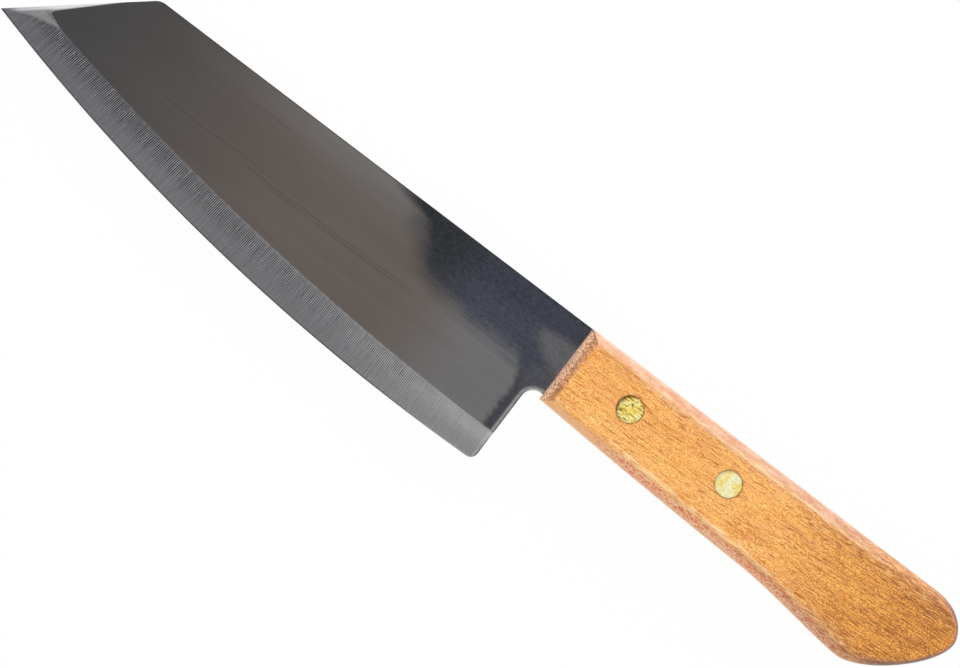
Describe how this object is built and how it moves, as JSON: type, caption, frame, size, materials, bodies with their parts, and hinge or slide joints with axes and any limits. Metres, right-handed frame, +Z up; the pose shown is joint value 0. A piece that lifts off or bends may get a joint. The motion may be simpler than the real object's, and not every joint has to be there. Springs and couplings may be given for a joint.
{
  "type": "kitchen knife",
  "caption": "Thin stamped kitchen knife with a clip-point blade, its half tang held by brass rivets in the kerf of a one-piece wooden handle with a slanted butt.",
  "frame": {"origin": "on the surface that the knife lies on, under the middle of its length and width", "axes": "+X from the tip to the butt, +Y from the cutting edge to the spine, +Z up, square to the blade"},
  "size_m": [0.2832, 0.0443, 0.016],
  "materials": {
    "steel": "polished along the blade, with a cross-ground bevel",
    "wood": "sanded orange-tan hardwood with fine open pores, thinly varnished",
    "brass": "sanded flush, with scratches and small dents"
  },
  "bodies": {
    "root": {"blade": "steel", "handle": "wood", "front_rivet_barrel": "brass", "front_rivet_pin": "brass", "rear_rivet_barrel": "brass", "rear_rivet_pin": "brass"}
  },
  "joints": []
}
